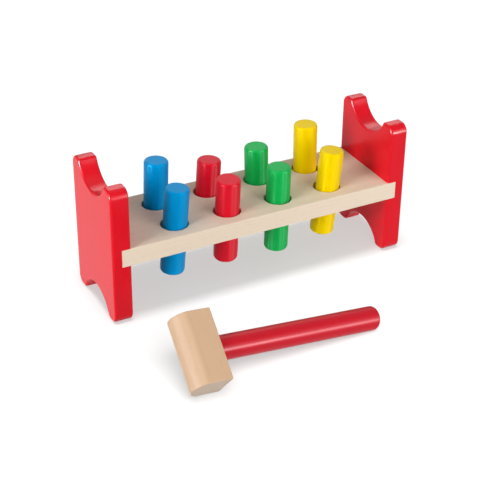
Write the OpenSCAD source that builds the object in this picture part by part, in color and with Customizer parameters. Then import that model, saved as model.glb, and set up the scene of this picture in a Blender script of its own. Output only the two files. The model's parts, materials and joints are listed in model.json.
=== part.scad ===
// Peg pounding bench with its mallet, in millimetres, +Z up.
// Two end panels carry a drilled board, and each hole holds a peg by a rubber grip ring.
// The bench stands either way up: the notch and the arch of a panel are the same shape.
// The origin is on the floor, in the middle of the space that bench and mallet take up together.

/* [Bench] */
// Length over the two end panels
bench_length = 270; // [220:1:340]
// Depth of the panels and the board, front to back
bench_depth = 78; // [74:1:110]
// Clear height above the board, and below it
clear_height = 52.25; // [44:0.25:70]

/* [End panels] */
// Thickness of an end panel
panel_thickness = 16; // [12:0.5:24]
// Radius of the round notch between two horns, and of the arch between two feet
notch_radius = 27; // [18:0.5:31]
// Depth of the notch and of the arch
notch_depth = 17; // [8:0.5:24]
// Radius of a panel's four outer corners
corner_radius = 7.5; // [2:0.5:9]
// Radius where the notch runs out onto a horn or a foot
shoulder_radius = 3; // [1:0.5:4]
// Depth of the housing in a panel's inner face, which takes the end of the board
housing_depth = 8; // [4:0.5:11]

/* [Board] */
// Thickness of the board
board_thickness = 15.5; // [12:0.5:22]
// Distance between neighbouring holes along the board
hole_pitch = 47.5; // [34:0.1:60]
// Extra wood between the two rows of holes, over what is left at each long edge of the board
middle_extra = 5; // [0:0.5:8]
// Shift of the holes along the board from its middle
hole_shift = -1; // [-3:0.5:3]
// Gap between a peg and the wall of its hole
hole_gap = 1.5; // [1.2:0.1:2.5]

/* [Pegs] */
// Diameter of a peg
peg_diameter = 20; // [16:0.5:24]
// Length of a peg
peg_length = 77; // [62:1:90]
// Radius of the eased rims of a peg
peg_rim = 2; // [0.5:0.25:3]
// Height of each front peg above the board: blue, red, green, yellow
front_height = [33, 31, 30, 34]; // [22:0.5:46]
// Height of each back peg above the board: blue, red, green, yellow
back_height = [40, 29.5, 32, 42.5]; // [22:0.5:46]
// Lean of each front peg along the board, in degrees, towards the right-hand panel
front_lean = [3.5, -0.5, 0.5, 4.5]; // [-5:0.5:5]
// Lean of each back peg along the board, in degrees, towards the right-hand panel
back_lean = [2, 3.5, -1.5, -1]; // [-5:0.5:5]
// Lean of each front peg across the board, in degrees, towards the front
front_tip = [2, 5, 1, 1.5]; // [-5:0.5:5]

/* [Grip rings] */
// Thickness of the round rubber of a grip ring
ring_section = 2.6; // [2:0.1:3.4]
// Gap between a grip ring and its peg
ring_gap = 0.3; // [0.1:0.05:0.5]
// Room above and below a grip ring in its groove
groove_play = 0.1; // [0:0.05:0.4]

/* [Mallet] */
// Length of the head from one striking face to the other
head_length = 57.5; // [46:0.5:80]
// Thickness of the head between its two flat sides
head_thickness = 28; // [26:0.5:40]
// Width of the flat sides, along the handle
head_flat = 20; // [16:0.5:30]
// Height of the rounded back of the head, beyond the flat sides
head_crown = 9; // [4:0.5:12]
// Diameter of the handle
handle_diameter = 19.5; // [14:0.5:24]
// Length of the handle outside the head
handle_reach = 147.5; // [90:0.5:180]
// Depth of the glued bore that takes the handle
handle_seat = 20; // [10:0.5:22]
// Radius of the eased end of the handle
handle_rim = 4.5; // [1:0.5:6]
// Place along the bench where the handle leaves the head
mallet_x = -96.5; // [-104:0.5:-13]
// Distance from the front of the bench to the handle where it leaves the head
mallet_gap = 100; // [60:0.5:140]
// Turn of the mallet on the floor, in degrees
mallet_turn = 2; // [-15:0.5:15]
// Roll of the mallet about its handle, in degrees, with its near striking face down: 0 lies flat
mallet_roll = 37.5; // [0:0.5:50]

/* [Hidden] */
$fn = 96;
cut = 1;

colour_names = ["blue", "red", "green", "yellow"];
row_names = ["front", "back"];
columns = len(colour_names);
peg_colours = ["dodgerblue", "crimson", "mediumseagreen", "gold"];
lacquer_red = "crimson";
bare_wood = "burlywood";
rubber_black = "dimgray";

bench_height = board_thickness + 2 * clear_height;
board_length = bench_length - 2 * (panel_thickness - housing_depth);
board_middle = bench_height / 2;

notch_centre = bench_height / 2 - notch_depth + notch_radius;
shoulder_z = bench_height / 2 - shoulder_radius;
shoulder_span = notch_radius + shoulder_radius;
shoulder_y = sqrt(pow(shoulder_span, 2) - pow(notch_centre - shoulder_z, 2));
touch_y = shoulder_y * notch_radius / shoulder_span;
touch_z = notch_centre - (notch_centre - shoulder_z) * notch_radius / shoulder_span;

hole_diameter = peg_diameter + 2 * hole_gap;
edge_wall = (bench_depth - 2 * hole_diameter - middle_extra) / 3;
row_spacing = hole_diameter + edge_wall + middle_extra;
ring_inner = peg_diameter / 2 + ring_gap;
ring_outer = ring_inner + ring_section;
groove_height = ring_section + 2 * groove_play;

crown_radius = (pow(head_thickness / 2, 2) + pow(head_crown, 2)) / (2 * head_crown);
head_width = head_flat + head_crown;
// The mallet rests on the lowest corner of its head and on the far end of its handle
head_drop = head_length / 2 * sin(mallet_roll) + head_thickness / 2 * cos(mallet_roll);
end_drop = head_drop - handle_diameter / 2 + handle_rim;
end_run = handle_reach - handle_rim;
mallet_tilt = acos(handle_rim / norm([end_drop, end_run])) - atan2(end_run, end_drop);
mallet_rise = head_drop * cos(mallet_tilt);
front_points = [[0, head_thickness / 2], [-head_flat, head_thickness / 2], [-head_width, 0]];
head_front = max([for (point = front_points) face_front(point[0], point[1])]);
handle_front = handle_reach * max(0, -sin(mallet_turn)) + handle_diameter / 2;
mallet_front = max(head_front, handle_front);
bench_y = (mallet_gap + mallet_front) / 2;
mallet_y = bench_y - bench_depth / 2 - mallet_gap;

// How far a point of the near striking face, given in the head's section, stands before the mallet's place
function face_front(along, up) =
    (head_length / 2 * cos(mallet_roll) + up * sin(mallet_roll)) * cos(mallet_turn)
    - (along * cos(mallet_tilt) + face_rise(up) * sin(mallet_tilt)) * sin(mallet_turn);
function face_rise(up) = up * cos(mallet_roll) - head_length / 2 * sin(mallet_roll);
function hole_x(column) = (column - (columns - 1) / 2) * hole_pitch + hole_shift;
function hole_y(row) = (row - 1 / 2) * row_spacing;
function peg_height(column, row) = row == 0 ? front_height[column] : back_height[column];
function peg_lean(column, row) = row == 0 ? front_lean[column] : back_lean[column];
function peg_tip(column, row) = row == 0 ? front_tip[column] : 0;
function peg_node(column, row) = str("peg_", colour_names[column], "_", row_names[row]);
function ring_node(column, row) = str("grip_ring_", colour_names[column], "_", row_names[row]);

places = [for (row = [0, 1], column = [0 : columns - 1]) [column, row]];

module rounded_rectangle(width, height, radius) {
    square([width - 2 * radius, height], center = true);
    square([width, height - 2 * radius], center = true);
    for (side = [-1, 1], end = [-1, 1])
        translate([side * (width / 2 - radius), end * (height / 2 - radius)])
            circle(r = radius);
}

// One round notch with its two eased shoulders, at the top of the outline
module notch() {
    translate([0, notch_centre])
        circle(r = notch_radius);
    for (side = [0, 1])
        mirror([side, 0])
            difference() {
                polygon([
                    [shoulder_y, shoulder_z],
                    [shoulder_y, bench_height / 2 + cut],
                    [touch_y, bench_height / 2 + cut],
                    [touch_y, touch_z]
                ]);
                translate([shoulder_y, shoulder_z])
                    circle(r = shoulder_radius);
            }
}

module panel_outline() {
    difference() {
        rounded_rectangle(bench_depth, bench_height, corner_radius);
        notch();
        mirror([0, 1])
            notch();
    }
}

// An end panel with its outer face at x = 0 and its housing open towards +X
module end_panel() {
    color(lacquer_red)
        difference() {
            rotate([90, 0, 90])
                linear_extrude(panel_thickness)
                    panel_outline();
            translate([panel_thickness - housing_depth, -bench_depth / 2 - cut, -board_thickness / 2])
                cube([housing_depth + cut, bench_depth + 2 * cut, board_thickness]);
        }
}

module left_end_panel() {
    translate([-bench_length / 2, bench_y, board_middle])
        end_panel();
}

module right_end_panel() {
    translate([bench_length / 2, bench_y, board_middle])
        mirror([1, 0, 0])
            end_panel();
}

module bench_board() {
    color(bare_wood)
        translate([0, bench_y, board_middle])
            difference() {
                cube([board_length, bench_depth, board_thickness], center = true);
                for (row = [0, 1], column = [0 : columns - 1])
                    translate([hole_x(column), hole_y(row), 0]) {
                        cylinder(d = hole_diameter, h = board_thickness + 2 * cut, center = true);
                        cylinder(r = ring_outer, h = groove_height, center = true);
                    }
            }
}

// A round rod from z = 0 upwards, with its foot and its head eased by the given radii
module eased_rod(diameter, length, foot, head) {
    radius = diameter / 2;
    rotate_extrude()
        union() {
            translate([0, foot])
                square([radius, length - foot - head]);
            square([radius - max(foot, head), length]);
            for (end = [[foot, foot], [head, length - head]])
                if (end[0] > 0)
                    translate([radius - end[0], end[1]])
                        intersection() {
                            circle(r = end[0]);
                            translate([0, -end[0]])
                                square([end[0], 2 * end[0]]);
                        }
        }
}

// A peg leans about the middle of its grip ring, which is the middle of the board
module peg(column, row) {
    lean = peg_lean(column, row);
    tip = peg_tip(column, row);
    top = (board_thickness / 2 + peg_height(column, row)) / (cos(lean) * cos(tip));
    color(peg_colours[column])
        translate([hole_x(column), bench_y + hole_y(row), board_middle])
            rotate([tip, lean, 0])
                translate([0, 0, top - peg_length])
                    eased_rod(peg_diameter, peg_length, peg_rim, peg_rim);
}

module grip_ring(column, row) {
    color(rubber_black)
        translate([hole_x(column), bench_y + hole_y(row), board_middle])
            rotate_extrude()
                translate([ring_inner + ring_section / 2, 0])
                    circle(d = ring_section);
}

// Places a piece of the mallet, drawn along +X from the face where the handle leaves the head
module lay_mallet() {
    translate([mallet_x, mallet_y, mallet_rise])
        rotate([mallet_roll, mallet_tilt, mallet_turn])
            children();
}

// The head's section: flat sides, a flat face for the handle and a rounded back
module head_section() {
    translate([-head_flat, -head_thickness / 2])
        square([head_flat, head_thickness]);
    intersection() {
        translate([crown_radius - head_width, 0])
            circle(r = crown_radius);
        translate([-head_width, -head_thickness / 2])
            square([head_crown, head_thickness]);
    }
}

module mallet_head() {
    color(bare_wood)
        lay_mallet()
            difference() {
                rotate([90, 0, 0])
                    linear_extrude(head_length, center = true)
                        head_section();
                translate([-handle_seat, 0, 0])
                    rotate([0, 90, 0])
                        cylinder(d = handle_diameter, h = handle_seat + cut);
            }
}

module mallet_handle() {
    color(lacquer_red)
        lay_mallet()
            translate([-handle_seat, 0, 0])
                rotate([0, 90, 0])
                    eased_rod(handle_diameter, handle_seat + handle_reach, 0, handle_rim);
}

left_end_panel();
right_end_panel();
bench_board();
mallet_head();
mallet_handle();
for (place = places) {
    peg(place[0], place[1]);
    grip_ring(place[0], place[1]);
}
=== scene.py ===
# Peg pounding bench with its mallet: the looks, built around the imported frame, in metres
import json
import math

import bmesh
import bpy
from mathutils import Matrix, Vector


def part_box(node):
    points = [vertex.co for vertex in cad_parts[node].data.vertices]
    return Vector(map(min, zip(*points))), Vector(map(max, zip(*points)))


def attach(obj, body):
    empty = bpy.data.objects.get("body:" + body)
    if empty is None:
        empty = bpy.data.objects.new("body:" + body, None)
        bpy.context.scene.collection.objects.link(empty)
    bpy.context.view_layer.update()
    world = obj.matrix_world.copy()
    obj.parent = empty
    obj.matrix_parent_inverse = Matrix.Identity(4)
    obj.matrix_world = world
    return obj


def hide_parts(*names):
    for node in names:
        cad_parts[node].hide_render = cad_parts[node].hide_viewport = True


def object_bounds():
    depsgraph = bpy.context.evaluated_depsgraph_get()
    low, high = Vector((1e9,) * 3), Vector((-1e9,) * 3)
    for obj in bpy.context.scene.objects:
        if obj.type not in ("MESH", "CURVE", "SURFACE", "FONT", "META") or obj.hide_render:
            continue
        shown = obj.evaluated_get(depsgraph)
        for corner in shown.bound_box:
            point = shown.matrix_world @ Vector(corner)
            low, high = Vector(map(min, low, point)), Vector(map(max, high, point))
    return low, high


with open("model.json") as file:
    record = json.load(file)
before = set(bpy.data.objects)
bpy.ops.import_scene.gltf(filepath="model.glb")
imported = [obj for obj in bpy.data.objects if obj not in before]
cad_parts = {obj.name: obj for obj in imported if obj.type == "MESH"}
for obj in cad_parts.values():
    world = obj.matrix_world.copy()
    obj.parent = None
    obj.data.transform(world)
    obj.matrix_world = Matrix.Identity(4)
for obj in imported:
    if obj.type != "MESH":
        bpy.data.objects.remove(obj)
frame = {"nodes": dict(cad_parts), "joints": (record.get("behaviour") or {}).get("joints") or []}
cadLow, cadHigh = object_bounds()
scene = bpy.context.scene
scene.view_settings.view_transform = "Standard"
print("frame loaded:", len(frame["nodes"]), "nodes")

cameraLook = {
    "place": (-0.4560, -0.7926, 0.6026),
    "azimuth": -27.840,   # degrees, turned about the upright axis
    "elevation": 30.801,  # degrees that it looks down
    "roll": 0.571,
    "lens": 99.19,
    "sensor": 36.0,
}


def placeCamera(look):
    bpy.ops.object.camera_add()
    camera = bpy.context.object
    camera.name = "photoCamera"
    turn = Matrix.Rotation(math.radians(look["azimuth"]), 4, "Z")
    tip = Matrix.Rotation(math.radians(90 - look["elevation"]), 4, "X")
    roll = Matrix.Rotation(math.radians(look["roll"]), 4, "Z")
    camera.matrix_world = Matrix.Translation(look["place"]) @ turn @ tip @ roll
    camera.data.sensor_width = look["sensor"]
    camera.data.lens = look["lens"]
    camera.data.clip_start = 0.01
    scene.camera = camera


placeCamera(cameraLook)
print("camera placed")


# Modelling helpers

near = 1e-6                      # metres, for finding points by their place
smoothAngle = math.radians(35)   # a sharper edge than this keeps its crease


def pickOnly(piece):
    bpy.ops.object.select_all(action="DESELECT")
    piece.select_set(True)
    bpy.context.view_layer.objects.active = piece


def openEdit(piece, pick="VERT"):
    pickOnly(piece)
    bpy.ops.object.mode_set(mode="EDIT")
    bpy.ops.mesh.select_mode(type=pick)


def closeEdit():
    bpy.ops.object.mode_set(mode="OBJECT")


def pickEdges(piece, wanted):
    bpy.ops.mesh.select_all(action="DESELECT")
    mesh = bmesh.from_edit_mesh(piece.data)
    for edge in mesh.edges:
        if wanted(edge):
            edge.select_set(True)
    bmesh.update_edit_mesh(piece.data)


def bothEnds(edge, test):
    return test(edge.verts[0].co) and test(edge.verts[1].co)


def startOutline(name, centre, first):
    # a plane merged to one point, from which the outline is drawn
    bpy.ops.object.select_all(action="DESELECT")
    bpy.ops.mesh.primitive_plane_add(size=0.01, location=centre)
    piece = bpy.context.object
    piece.name = name
    piece.data.name = name
    openEdit(piece)
    bpy.ops.mesh.select_all(action="SELECT")
    bpy.ops.mesh.merge(type="CENTER")
    bpy.ops.transform.translate(value=first)
    return piece


def lineBy(step):
    bpy.ops.mesh.extrude_region_move(TRANSFORM_OT_translate={"value": step})


def arcAbout(centre, axis, degrees, steps):
    # without a window, spin turns against the right-hand rule
    bpy.ops.mesh.spin(steps=steps, angle=-math.radians(degrees), center=centre, axis=axis)


def fillAndThicken(piece, step):
    openEdit(piece)
    bpy.ops.mesh.select_all(action="SELECT")
    bpy.ops.mesh.remove_doubles(threshold=near)
    bpy.ops.mesh.select_all(action="SELECT")
    bpy.ops.mesh.edge_face_add()
    bpy.ops.mesh.extrude_region_move(TRANSFORM_OT_translate={"value": step})
    bpy.ops.mesh.select_all(action="SELECT")
    bpy.ops.mesh.normals_make_consistent(inside=False)
    closeEdit()


def easeEdges(piece, wanted, width, steps):
    openEdit(piece, "EDGE")
    pickEdges(piece, wanted)
    bpy.ops.mesh.bevel(offset=width, segments=steps, profile=0.5, affect="EDGES")
    closeEdit()


def applyModifier(piece, modifier):
    pickOnly(piece)
    bpy.ops.object.modifier_apply(modifier=modifier.name)


def cutAway(piece, cutter):
    cut = piece.modifiers.new("cut", "BOOLEAN")
    cut.operation = "DIFFERENCE"
    cut.solver = "EXACT"
    cut.object = cutter
    applyModifier(piece, cut)
    bpy.data.objects.remove(cutter)


def joinCutters(cutters):
    bpy.ops.object.select_all(action="DESELECT")
    for cutter in cutters:
        cutter.select_set(True)
    bpy.context.view_layer.objects.active = cutters[0]
    bpy.ops.object.join()
    return cutters[0]


def roundCutter(centre, radius, depth, steps):
    bpy.ops.mesh.primitive_cylinder_add(vertices=steps, radius=radius, depth=depth, location=centre)
    return bpy.context.object


def copyPiece(piece, name):
    pickOnly(piece)
    bpy.ops.object.duplicate()
    copy = bpy.context.object
    copy.name = name
    copy.data.name = name
    return copy


def settle(piece):
    # the place goes into the mesh, and flat faces keep flat shading beside their eased edges
    pickOnly(piece)
    bpy.ops.object.transform_apply(location=True, rotation=True, scale=True)
    bpy.ops.object.shade_smooth_by_angle(angle=smoothAngle)
    weigh = piece.modifiers.new("weigh", "WEIGHTED_NORMAL")
    weigh.keep_sharp = True
    applyModifier(piece, weigh)


def dress(piece, material, body, node):
    piece.data.materials.clear()
    piece.data.materials.append(material)
    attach(piece, body)
    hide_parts(node)


# Material helpers: every pattern is laid out in a space of its own, with x along the grain

def freshMaterial(name):
    material = bpy.data.materials.new(name)
    material.use_nodes = True
    return material, material.node_tree, material.node_tree.nodes["Principled BSDF"]


def addNode(tree, kind, inputs, **settings):
    made = tree.nodes.new("ShaderNode" + kind)
    for name, value in settings.items():
        setattr(made, name, value)
    for name, value in inputs.items():
        if isinstance(value, bpy.types.NodeSocket):
            tree.links.new(value, made.inputs[name])
        else:
            made.inputs[name].default_value = value
    return made


def grainSpace(tree, centre, turn):
    coords = addNode(tree, "TexCoord", {})
    inputs = {"Vector": coords.outputs["Object"], "Location": centre, "Rotation": turn}
    return addNode(tree, "Mapping", inputs, vector_type="TEXTURE").outputs["Vector"]


def patches(tree, space, size, detail=2.0, rough=0.5):
    # noise whose blotches have about this size along and across the grain
    sized = addNode(tree, "Mapping", {"Vector": space, "Scale": size}, vector_type="TEXTURE")
    inputs = {"Vector": sized.outputs["Vector"], "Scale": 1.0, "Detail": detail, "Roughness": rough}
    return addNode(tree, "TexNoise", inputs).outputs["Fac"]


def sums(tree, operation, first, second):
    return addNode(tree, "Math", {0: first, 1: second}, operation=operation).outputs["Value"]


def spread(tree, value, fromLow, fromHigh, toLow, toHigh):
    inputs = {"Value": value, "From Min": fromLow, "From Max": fromHigh, "To Min": toLow, "To Max": toHigh}
    return addNode(tree, "MapRange", inputs).outputs["Result"]


def blendColours(tree, share, first, second):
    made = addNode(tree, "Mix", {}, data_type="RGBA")
    tree.links.new(share, made.inputs["Factor"])
    for name, value in (("A", first), ("B", second)):
        place = [s for s in made.inputs if s.name == name and s.type == "RGBA"][0]
        if isinstance(value, bpy.types.NodeSocket):
            tree.links.new(value, place)
        else:
            place.default_value = (*value, 1.0)
    return [s for s in made.outputs if s.type == "RGBA"][0]


def growthRings(tree, space, heart, spacing, wander):
    # share of the way through a year's growth, round a heart line that runs along the grain
    moved = addNode(tree, "VectorMath", {0: space, 1: (0.0, -heart[0], -heart[1])}, operation="ADD")
    acrossOnly = {0: moved.outputs["Vector"], 1: (0.0, 1.0, 1.0)}
    flat = addNode(tree, "VectorMath", acrossOnly, operation="MULTIPLY")
    out = addNode(tree, "VectorMath", {0: flat.outputs["Vector"]}, operation="LENGTH").outputs["Value"]
    years = sums(tree, "DIVIDE", out, spacing)
    return sums(tree, "FRACT", sums(tree, "ADD", years, wander), 0.0)


def endGrain(tree, along):
    # 1 on faces that are cut across the grain
    coords = addNode(tree, "TexCoord", {})
    facing = addNode(tree, "VectorMath", {0: coords.outputs["Normal"], 1: along}, operation="DOT_PRODUCT")
    return spread(tree, sums(tree, "ABSOLUTE", facing.outputs["Value"], 0.0), 0.75, 0.98, 0.0, 1.0)


def grainTurn(along):
    # turn that lays the pattern's x along the grain
    return Vector(along).to_track_quat("X", "Z").to_matrix()


def addBump(tree, shader, height, strength, distance):
    inputs = {"Height": height, "Strength": strength, "Distance": distance}
    bump = addNode(tree, "Bump", inputs)
    tree.links.new(bump.outputs["Normal"], shader.inputs["Normal"])


paintFigure = {
    "ringWander": 1.2,       # how far the growth rings stray
    "ringRelief": 0.25,      # how much they show on the ends
    "reliefDepth": 0.0002,
}


def paintedWood(name, look, centre, along):
    material, tree, shader = freshMaterial(name)
    space = grainSpace(tree, centre, grainTurn(along).to_euler())
    cloud = patches(tree, space, look["cloudSize"])
    streak = patches(tree, space, look["streakSize"], 3.0)
    wander = sums(tree, "MULTIPLY", cloud, paintFigure["ringWander"])
    rings = growthRings(tree, space, look["heart"], look["ringSpacing"], wander)
    across = endGrain(tree, along)
    tone = sums(tree, "ADD", sums(tree, "MULTIPLY", cloud, 0.6), sums(tree, "MULTIPLY", streak, 0.4))
    colour = blendColours(tree, spread(tree, tone, 0.3, 0.7, 0.0, 1.0), look["deep"], look["colour"])
    tree.links.new(colour, shader.inputs["Base Color"])
    tree.links.new(spread(tree, cloud, 0.3, 0.7, *look["roughness"]), shader.inputs["Roughness"])
    shader.inputs["Specular IOR Level"].default_value = look["specular"]
    shader.inputs["Specular Tint"].default_value = (*look["glossTint"], 1.0)
    wave = patches(tree, space, look["waveSize"], 1.0)
    ringRelief = sums(tree, "MULTIPLY", sums(tree, "MULTIPLY", rings, across), paintFigure["ringRelief"])
    relief = sums(tree, "ADD", wave, ringRelief)
    addBump(tree, shader, relief, look["bump"], paintFigure["reliefDepth"])
    return material


def turnedGloss(material, look, along):
    # a rod rubbed down in the lathe draws its gloss out along its axis
    tree = material.node_tree
    shader = tree.nodes["Principled BSDF"]
    shader.inputs["Anisotropic"].default_value = look["drawnOut"]
    aside = Vector(along).orthogonal().normalized()
    lie = Vector(along) + 0.02 * aside  # a little aside, so that the flat ends have one too
    tangent = addNode(tree, "CombineXYZ", {"X": lie.x, "Y": lie.y, "Z": lie.z})
    tree.links.new(tangent.outputs["Vector"], shader.inputs["Tangent"])


woodFigure = {
    "driftSize": (0.11, 0.016, 0.016),         # slow change of tone
    "streakSize": (0.16, 0.0022, 0.0022),
    "fleckSize": (0.0065, 0.00032, 0.00032),   # pores
    "poreShare": 0.35,
    "ringWander": 2.6,
    "reliefDepth": 0.0003,
}


def bareWood(name, look, centre, along):
    material, tree, shader = freshMaterial(name)
    space = grainSpace(tree, centre, grainTurn(along).to_euler())
    drift = patches(tree, space, woodFigure["driftSize"])
    streak = patches(tree, space, woodFigure["streakSize"], 4.0, 0.6)
    fleck = patches(tree, space, woodFigure["fleckSize"], 1.0)
    wander = sums(tree, "MULTIPLY", drift, woodFigure["ringWander"])
    rings = growthRings(tree, space, look["heart"], look["ringSpacing"], wander)
    late = spread(tree, rings, 0.35, 0.95, 0.0, 1.0)
    across = endGrain(tree, along)
    tone = sums(tree, "ADD", sums(tree, "MULTIPLY", late, 0.45), sums(tree, "MULTIPLY", streak, 0.55))
    body = blendColours(tree, spread(tree, tone, 0.2, 0.85, 0.0, 1.0), look["light"], look["dark"])
    pore = sums(tree, "MULTIPLY", spread(tree, fleck, 0.60, 0.72, 0.0, 1.0), woodFigure["poreShare"])
    flecked = blendColours(tree, pore, body, look["pore"])
    ends = sums(tree, "MULTIPLY", across, look["endShare"])
    tree.links.new(blendColours(tree, ends, flecked, look["end"]), shader.inputs["Base Color"])
    tree.links.new(spread(tree, streak, 0.3, 0.7, *look["roughness"]), shader.inputs["Roughness"])
    shader.inputs["Specular IOR Level"].default_value = look["specular"]
    relief = sums(tree, "ADD", sums(tree, "MULTIPLY", streak, 0.5), sums(tree, "MULTIPLY", late, 0.2))
    relief = sums(tree, "SUBTRACT", relief, pore)
    addBump(tree, shader, relief, look["bump"], woodFigure["reliefDepth"])
    return material


# End panels: half of one horn is drawn, mirrored into the outline, thickened, eased and housed

panelShape = {
    "notchRadius": 0.027,      # round notch between two horns, and arch between two feet
    "notchDepth": 0.017,
    "shoulderRadius": 0.003,   # where the notch runs out onto a horn
    "cornerRadius": 0.0075,    # the four outer corners
    "arris": 0.0019,           # easing round both faces
    "arrisSteps": 4,
    "arcSteps": 16,
    "cornerSteps": 8,
}
panelLacquer = {
    "colour": (0.70, 0.004, 0.015),
    "deep": (0.65, 0.003, 0.012),
    "roughness": (0.20, 0.26),
    "specular": 0.14,
    "glossTint": (1.0, 0.90, 0.92),
    "bump": 0.1,
    "waveSize": (0.020, 0.009, 0.009),
    "cloudSize": (0.05, 0.03, 0.03),
    "streakSize": (0.05, 0.0011, 0.0011),
    "heart": (0.06, 0.13),
    "ringSpacing": 0.003,
}


def modelPanel(name, node):
    low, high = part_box(node)
    boardLow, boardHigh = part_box("bench_board")
    centre = (low + high) / 2
    thickness, depth, height = high - low
    notchZ = height / 2 - panelShape["notchDepth"] + panelShape["notchRadius"]
    shoulderZ = height / 2 - panelShape["shoulderRadius"]
    span = panelShape["notchRadius"] + panelShape["shoulderRadius"]
    shoulderY = math.sqrt(span ** 2 - (notchZ - shoulderZ) ** 2)
    sweep = math.degrees(math.atan2(shoulderY, notchZ - shoulderZ))
    corner = panelShape["cornerRadius"]
    cornerY = depth / 2 - corner
    cornerZ = height / 2 - corner
    steps = panelShape["arcSteps"]

    panel = startOutline(name, centre, (-thickness / 2, 0, height / 2 - panelShape["notchDepth"]))
    arcAbout(centre + Vector((0, 0, notchZ)), (1, 0, 0), sweep, steps)
    arcAbout(centre + Vector((0, shoulderY, shoulderZ)), (1, 0, 0), -sweep, panelShape["cornerSteps"])
    lineBy((0, cornerY - shoulderY, 0))
    arcAbout(centre + Vector((0, cornerY, cornerZ)), (1, 0, 0), -90, panelShape["cornerSteps"])
    lineBy((0, 0, -cornerZ))
    closeEdit()

    mirror = panel.modifiers.new("mirror", "MIRROR")
    mirror.use_axis = (False, True, True)
    mirror.merge_threshold = 1e-5
    applyModifier(panel, mirror)
    fillAndThicken(panel, (thickness, 0, 0))

    def onFace(co):
        return abs(abs(co.x) - thickness / 2) < near

    def roundFace(edge):
        return bothEnds(edge, onFace) and abs(edge.verts[0].co.x - edge.verts[1].co.x) < near

    easeEdges(panel, roundFace, panelShape["arris"], panelShape["arrisSteps"])

    spare = 0.01  # the cutter stands out of the panel by this much
    housing = Vector((high.x + spare - boardLow.x, depth + 2 * spare, boardHigh.z - boardLow.z))
    middle = Vector((boardLow.x + housing.x / 2, centre.y, centre.z))
    bpy.ops.mesh.primitive_cube_add(size=1, location=middle, scale=housing)
    cutAway(panel, bpy.context.object)
    return panel


leftPanel = modelPanel("leftEndPanel", "left_end_panel")
rightPanel = copyPiece(leftPanel, "rightEndPanel")
benchMiddle = (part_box("bench_board")[0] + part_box("bench_board")[1]) / 2
bpy.ops.transform.rotate(value=math.pi, orient_axis="Z", center_override=benchMiddle)
for panel, node in ((leftPanel, "left_end_panel"), (rightPanel, "right_end_panel")):
    settle(panel)
    panelMiddle = (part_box(node)[0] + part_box(node)[1]) / 2
    lacquer = paintedWood(panel.name + "Lacquer", panelLacquer, panelMiddle, (0, 0, 1))
    dress(panel, lacquer, "bench", node)
print("end panels modelled")


# Board: a plank drilled for the pegs, with a groove in each hole for its grip ring

boardShape = {
    "holeRadius": 0.0115,
    "ringPlay": 0.0001,     # room above and below a ring in its groove
    "ease": 0.0005,         # easing of the long edges, the ends and the rims of the holes
    "easeSteps": 2,
    "sharpFrom": 0.7,       # radians between the faces of an edge that is eased
    "roundSteps": 80,
}
boardWood = {
    "light": (0.77, 0.652, 0.515),
    "dark": (0.745, 0.625, 0.49),
    "pore": (0.58, 0.46, 0.35),
    "end": (0.62, 0.51, 0.40),
    "endShare": 0.6,
    "roughness": (0.48, 0.60),
    "specular": 0.05,
    "bump": 0.16,
    "heart": (0.012, -0.085),
    "ringSpacing": 0.0032,
}
pegColours = ("blue", "red", "green", "yellow")
pegRows = ("front", "back")
pegPlaces = [(colour, row) for row in pegRows for colour in pegColours]


def modelBoard():
    low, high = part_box("bench_board")
    centre = (low + high) / 2
    size = high - low
    bpy.ops.object.select_all(action="DESELECT")
    bpy.ops.mesh.primitive_cube_add(size=1, location=centre, scale=size)
    board = bpy.context.object
    board.name = "benchBoard"
    board.data.name = "benchBoard"
    bpy.ops.object.transform_apply(location=True, rotation=True, scale=True)
    holes = []
    grooves = []
    for colour, row in pegPlaces:
        ringLow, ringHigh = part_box("grip_ring_" + colour + "_" + row)
        middle = (ringLow + ringHigh) / 2
        grooveRadius = (ringHigh.x - ringLow.x) / 2
        grooveHeight = ringHigh.z - ringLow.z + 2 * boardShape["ringPlay"]
        holes.append(roundCutter(middle, boardShape["holeRadius"], 2 * size.z, boardShape["roundSteps"]))
        grooves.append(roundCutter(middle, grooveRadius, grooveHeight, boardShape["roundSteps"]))
    cutAway(board, joinCutters(holes))
    cutAway(board, joinCutters(grooves))

    def sharpOutside(edge):
        atFace = any(min(abs(v.co.z - low.z), abs(v.co.z - high.z)) < near for v in edge.verts)
        return atFace and edge.calc_face_angle(0.0) > boardShape["sharpFrom"]

    easeEdges(board, sharpOutside, boardShape["ease"], boardShape["easeSteps"])
    settle(board)
    wood = bareWood("boardWood", boardWood, centre, (1, 0, 0))
    dress(board, wood, "bench", "bench_board")


modelBoard()
print("board modelled")


# Pegs: one dowel with eased rims, copied to the eight holes and leaned along its joint

pegShape = {
    "radius": 0.010,
    "length": 0.077,
    "rim": 0.002,
    "rimSteps": 6,
    "roundSteps": 96,
}
pegPaint = {
    # the paint, a deeper tone of it, and the tint of its gloss
    "blue": ((0.0, 0.27, 0.61), (0.0, 0.245, 0.57), (0.0, 0.55, 1.0)),
    "red": ((0.69, 0.003, 0.019), (0.64, 0.002, 0.016), (1.0, 0.40, 0.45)),
    "green": ((0.002, 0.41, 0.075), (0.001, 0.375, 0.065), (0.32, 1.0, 0.50)),
    "yellow": ((0.90, 0.63, 0.0), (0.86, 0.60, 0.0), (1.0, 0.85, 0.0)),
}
pegFinish = {
    "roughness": (0.36, 0.42),
    "specular": 0.32,
    "drawnOut": 0.9,
    "bump": 0.1,
    "waveSize": (0.018, 0.006, 0.006),
    "cloudSize": (0.03, 0.012, 0.012),
    "streakSize": (0.04, 0.0008, 0.0008),
    "ringSpacing": 0.0021,
}


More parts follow.
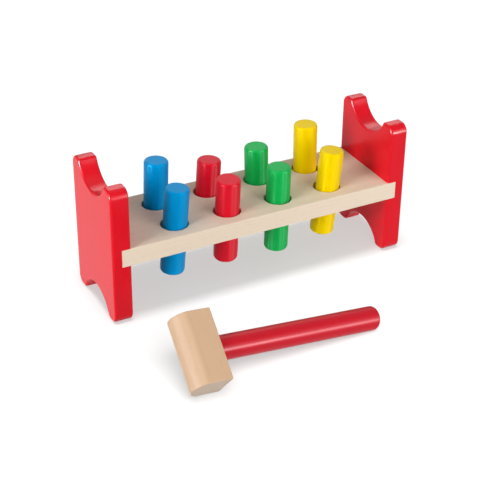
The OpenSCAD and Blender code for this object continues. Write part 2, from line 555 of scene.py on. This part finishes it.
def modelDowel():
    bpy.ops.object.select_all(action="DESELECT")
    bpy.ops.mesh.primitive_cylinder_add(
        vertices=pegShape["roundSteps"], radius=pegShape["radius"], depth=pegShape["length"])
    dowel = bpy.context.object
    half = pegShape["length"] / 2

    def onRim(edge):
        return bothEnds(edge, lambda co: abs(abs(co.z) - half) < near)

    easeEdges(dowel, onRim, pegShape["rim"], pegShape["rimSteps"])
    return dowel


def jointAxis(name):
    return Vector([joint["axis"] for joint in frame["joints"] if joint["name"] == name][0])


def modelPegs():
    dowel = modelDowel()
    for place, (colour, row) in enumerate(pegPlaces):
        node = "peg_" + colour + "_" + row
        low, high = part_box(node)
        centre = (low + high) / 2
        body = colour + "_" + row + "_peg"
        axis = jointAxis(body + "_drive")
        peg = copyPiece(dowel, "peg" + colour.title() + row.title())
        peg.matrix_world = Matrix.Translation(centre) @ axis.to_track_quat("Z", "Y").to_matrix().to_4x4()
        settle(peg)
        colourLight, colourDeep, glossTint = pegPaint[colour]
        # each dowel is cut from another part of the stock
        heart = (0.006 + 0.004 * place, -0.011 - 0.003 * (place % 3))
        look = dict(pegFinish, colour=colourLight, deep=colourDeep, glossTint=glossTint, heart=heart)
        paint = paintedWood(peg.name + "Paint", look, centre, axis)
        turnedGloss(paint, look, axis)
        dress(peg, paint, body, node)
    bpy.data.objects.remove(dowel)


modelPegs()
print("pegs modelled")


# Mallet: a head with a rounded back, bored for a turned handle, resting on the floor

malletShape = {
    "x": -0.0965,            # where the handle leaves the head
    "benchGap": 0.100,       # from the front of the bench to that place
    "turn": 2.0,             # degrees, on the floor
    "roll": 37.5,            # degrees about the handle, with the near striking face down
    "headLength": 0.0575,
    "headThickness": 0.028,
    "headFlat": 0.020,       # flat sides, along the handle
    "headCrown": 0.009,      # rounded back, beyond them
    "headEase": 0.0008,
    "headEaseSteps": 3,
    "headSharpFrom": 0.6,    # radians between the faces of an edge that is eased
    "crownSteps": 28,
    "handleRadius": 0.00975,
    "handleReach": 0.1475,
    "handleSeat": 0.020,
    "handleRim": 0.0045,
    "handleRimSteps": 8,
    "roundSteps": 80,
}
malletWood = {
    "light": (0.625, 0.415, 0.262),
    "dark": (0.595, 0.385, 0.24),
    "pore": (0.46, 0.29, 0.17),
    "end": (0.56, 0.46, 0.38),
    "endShare": 0.75,
    "roughness": (0.48, 0.60),
    "specular": 0.09,
    "bump": 0.12,
    "heart": (0.035, 0.02),
    "ringSpacing": 0.0026,
}
handleShadedLacquer = {
    # its red is the panels' lacquer painted darker: painted shade on the mallet's handle
    "colour": (0.56, 0.004, 0.016),
    "deep": (0.51, 0.003, 0.013),
    "roughness": (0.42, 0.48),
    "specular": 0.32,
    "glossTint": (1.0, 0.64, 0.68),
    "drawnOut": 0.8,
    "heart": (0.014, -0.020),
}


def malletPlace():
    # it rests on the lowest corner of its head and on the far end of its handle
    roll = math.radians(malletShape["roll"])
    rim = malletShape["handleRim"]
    halfLength = malletShape["headLength"] / 2
    halfThickness = malletShape["headThickness"] / 2
    headDrop = halfLength * math.sin(roll) + halfThickness * math.cos(roll)
    endDrop = headDrop - malletShape["handleRadius"] + rim
    endRun = malletShape["handleReach"] - rim
    tilt = math.acos(rim / math.hypot(endDrop, endRun)) - math.atan2(endRun, endDrop)
    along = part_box("bench_board")[0].y - malletShape["benchGap"]
    place = Matrix.Translation((malletShape["x"], along, headDrop * math.cos(tilt)))
    turn = Matrix.Rotation(math.radians(malletShape["turn"]), 4, "Z")
    return place @ turn @ Matrix.Rotation(tilt, 4, "Y") @ Matrix.Rotation(roll, 4, "X")


def modelHead(lay):
    half = malletShape["headThickness"] / 2
    flat = malletShape["headFlat"]
    crown = malletShape["headCrown"]
    length = malletShape["headLength"]
    crownRadius = (half ** 2 + crown ** 2) / (2 * crown)
    crownX = crownRadius - flat - crown
    sweep = 2 * math.degrees(math.asin(half / crownRadius))
    head = startOutline("malletHead", (0, 0, 0), (0, -length / 2, -half))
    lineBy((0, 0, 2 * half))
    lineBy((-flat, 0, 0))
    arcAbout((crownX, -length / 2, 0), (0, 1, 0), -sweep, malletShape["crownSteps"])
    closeEdit()
    fillAndThicken(head, (0, length, 0))

    def outerEdge(edge):
        return edge.calc_face_angle(0.0) > malletShape["headSharpFrom"]

    easeEdges(head, outerEdge, malletShape["headEase"], malletShape["headEaseSteps"])
    seat = malletShape["handleSeat"]
    bpy.ops.mesh.primitive_cylinder_add(
        vertices=malletShape["roundSteps"], radius=malletShape["handleRadius"], depth=2 * seat,
        rotation=(0, math.pi / 2, 0))
    cutAway(head, bpy.context.object)
    head.matrix_world = lay
    settle(head)
    along = (lay.to_3x3() @ Vector((0, 1, 0))).normalized()
    wood = bareWood("malletWood", malletWood, lay.translation, along)
    dress(head, wood, "mallet", "mallet_head")
    return head


def modelHandle(lay):
    seat = malletShape["handleSeat"]
    reach = malletShape["handleReach"]
    bpy.ops.object.select_all(action="DESELECT")
    bpy.ops.mesh.primitive_cylinder_add(
        vertices=malletShape["roundSteps"], radius=malletShape["handleRadius"], depth=seat + reach,
        location=((reach - seat) / 2, 0, 0), rotation=(0, math.pi / 2, 0))
    handle = bpy.context.object
    handle.name = "malletHandle"
    handle.data.name = "malletHandle"
    bpy.ops.object.transform_apply(location=True, rotation=True, scale=True)

    def farRim(edge):
        return bothEnds(edge, lambda co: co.x > reach - near)

    easeEdges(handle, farRim, malletShape["handleRim"], malletShape["handleRimSteps"])
    handle.matrix_world = lay
    settle(handle)
    along = (lay.to_3x3() @ Vector((1, 0, 0))).normalized()
    middle = lay @ Vector((reach / 2, 0, 0))
    # the panels' lacquer, with the handle's red painted darker as painted shade
    look = dict(panelLacquer, **handleShadedLacquer)
    lacquer = paintedWood("handleShadedLacquer", look, middle, along)
    turnedGloss(lacquer, look, along)
    dress(handle, lacquer, "mallet", "mallet_handle")
    return handle


malletLay = malletPlace()
malletPieces = [modelHead(malletLay), modelHandle(malletLay)]
print("mallet modelled")


# Grip rings: their solids stay, and only get their rubber

ringRubber = {
    "light": (0.045, 0.043, 0.042),
    "dark": (0.022, 0.021, 0.021),
    "roughness": (0.5, 0.68),
    "specular": 0.35,
    "cloudSize": (0.004, 0.004, 0.004),
    "speckSize": (0.0004, 0.0004, 0.0004),
    "bump": 0.15,
    "reliefDepth": 0.0001,
}


def rubber(look):
    material, tree, shader = freshMaterial("ringRubber")
    space = grainSpace(tree, (0, 0, 0), (0, 0, 0))
    cloud = patches(tree, space, look["cloudSize"])
    speck = patches(tree, space, look["speckSize"], 1.0)
    tree.links.new(blendColours(tree, cloud, look["dark"], look["light"]), shader.inputs["Base Color"])
    tree.links.new(spread(tree, speck, 0.3, 0.7, *look["roughness"]), shader.inputs["Roughness"])
    shader.inputs["Specular IOR Level"].default_value = look["specular"]
    addBump(tree, shader, speck, look["bump"], look["reliefDepth"])
    return material


gripRubber = rubber(ringRubber)
for colour, row in pegPlaces:
    ring = frame["nodes"]["grip_ring_" + colour + "_" + row]
    for slot in ring.material_slots:
        slot.material = gripRubber
print("grip rings finished")


# Floor, lights and surroundings

studio = {
    "floorSize": 8.0,
    "floorTone": 0.33,        # as the camera and reflections see it
    "bounceTone": 0.22,       # as it throws light back
    "ambient": 0.30,          # what the surroundings give as light
}
lamps = {
    "left": {"place": (-1.90, -0.45, 0.95), "size": (0.8, 1.2), "power": 32.0},
    "frontRight": {"place": (0.95, -1.85, 0.72), "size": (1.2, 1.3), "power": 27.0},
    "above": {"place": (0.0, 0.1, 1.6), "size": (0.8, 0.8), "power": 2.5},
}
shineLamps = {
    # these show in the gloss alone
    "leftStrip": {"place": (-2.00, -0.15, 0.22), "size": (0.25, 0.4), "power": 260.0},
    "frontStrip": {"place": (0.98, -1.78, 0.22), "size": (0.25, 0.4), "power": 80.0},
    "backAbove": {"place": (0.66, 1.24, 1.50), "size": (1.0, 0.9), "power": 9.0},
}
panelLamps = {
    # this one lights the end panels alone
    "lowLeft": {"place": (-2.00, -0.15, 0.10), "size": (0.5, 0.2), "power": 5.0},
}
panelShine = {
    # and this one shows in their gloss alone
    "hornTops": {"place": (0.83, 1.50, 1.22), "size": (1.0, 0.9), "power": 8.0},
}
floorLamps = {
    # these light the floor alone: spread is how many degrees across they are, seen from the floor
    "overBench": {"towards": (-0.06, -0.07, 1.0), "spread": 20.0, "strength": 3.85},
    "overMallet": {"towards": (-0.17, -0.60, 0.78), "spread": 50.0, "strength": 6.8},
}


def seenDirectly(tree):
    # 1 for what the camera sees, by itself or in a reflection
    path = addNode(tree, "LightPath", {})
    mirrored = sums(tree, "MAXIMUM", path.outputs["Is Glossy Ray"], path.outputs["Is Transmission Ray"])
    return sums(tree, "MAXIMUM", path.outputs["Is Camera Ray"], mirrored)


def layFloor():
    bpy.ops.mesh.primitive_plane_add(size=studio["floorSize"])
    floor = bpy.context.object
    floor.name = "floor"
    material = bpy.data.materials.new("paleFloor")
    material.use_nodes = True
    tree = material.node_tree
    tree.nodes.clear()
    tone = spread(tree, seenDirectly(tree), 0.0, 1.0, studio["bounceTone"], studio["floorTone"])
    matt = addNode(tree, "BsdfDiffuse", {"Color": tone})
    addNode(tree, "OutputMaterial", {"Surface": matt.outputs["BSDF"]})
    floor.data.materials.append(material)
    return floor


def lightWorld():
    world = bpy.data.worlds.new("whiteStudio")
    world.use_nodes = True
    tree = world.node_tree
    tree.nodes.clear()
    strength = spread(tree, seenDirectly(tree), 0.0, 1.0, studio["ambient"], 1.0)
    sky = addNode(tree, "Background", {"Color": (1.0, 1.0, 1.0, 1.0), "Strength": strength})
    addNode(tree, "OutputWorld", {"Surface": sky.outputs["Background"]})
    scene.world = world


def hangLamps(group, inDiffuse, lit):
    aim = (cadLow + cadHigh) / 2
    for name, lamp in group.items():
        place = Vector(lamp["place"])
        bpy.ops.object.light_add(type="AREA", location=place)
        light = bpy.context.object
        light.name = name
        light.visible_diffuse = inDiffuse
        light.light_linking.receiver_collection = lit
        light.rotation_euler = (aim - place).to_track_quat("-Z", "Y").to_euler()
        light.data.shape = "RECTANGLE"
        light.data.size, light.data.size_y = lamp["size"]
        light.data.energy = lamp["power"]


def gather(name, pieces, state):
    group = bpy.data.collections.new(name)
    for piece in pieces:
        group.objects.link(piece)
    for member in group.collection_objects:
        member.light_linking.link_state = state
    return group


def hangFloorLamp(name, floor, shadedBy):
    lamp = floorLamps[name]
    towards = Vector(lamp["towards"])
    bpy.ops.object.light_add(type="SUN", location=2 * towards)
    light = bpy.context.object
    light.name = name
    light.rotation_euler = towards.to_track_quat("Z", "Y").to_euler()
    light.data.angle = math.radians(lamp["spread"])
    light.data.energy = lamp["strength"]
    light.light_linking.receiver_collection = gather(name + "Lit", [floor], "INCLUDE")
    light.light_linking.blocker_collection = shadedBy


whiteFloor = layFloor()
lightWorld()
allButFloor = gather("allButFloor", [whiteFloor], "EXCLUDE")
hangLamps(lamps, True, allButFloor)
hangLamps(shineLamps, False, allButFloor)
panelsOnly = gather("panelsOnly", [leftPanel, rightPanel], "INCLUDE")
hangLamps(panelLamps, True, panelsOnly)
hangLamps(panelShine, False, panelsOnly)
hangFloorLamp("overBench", whiteFloor, gather("allButMallet", malletPieces, "EXCLUDE"))
hangFloorLamp("overMallet", whiteFloor, gather("malletOnly", malletPieces, "INCLUDE"))
print("stage lit")
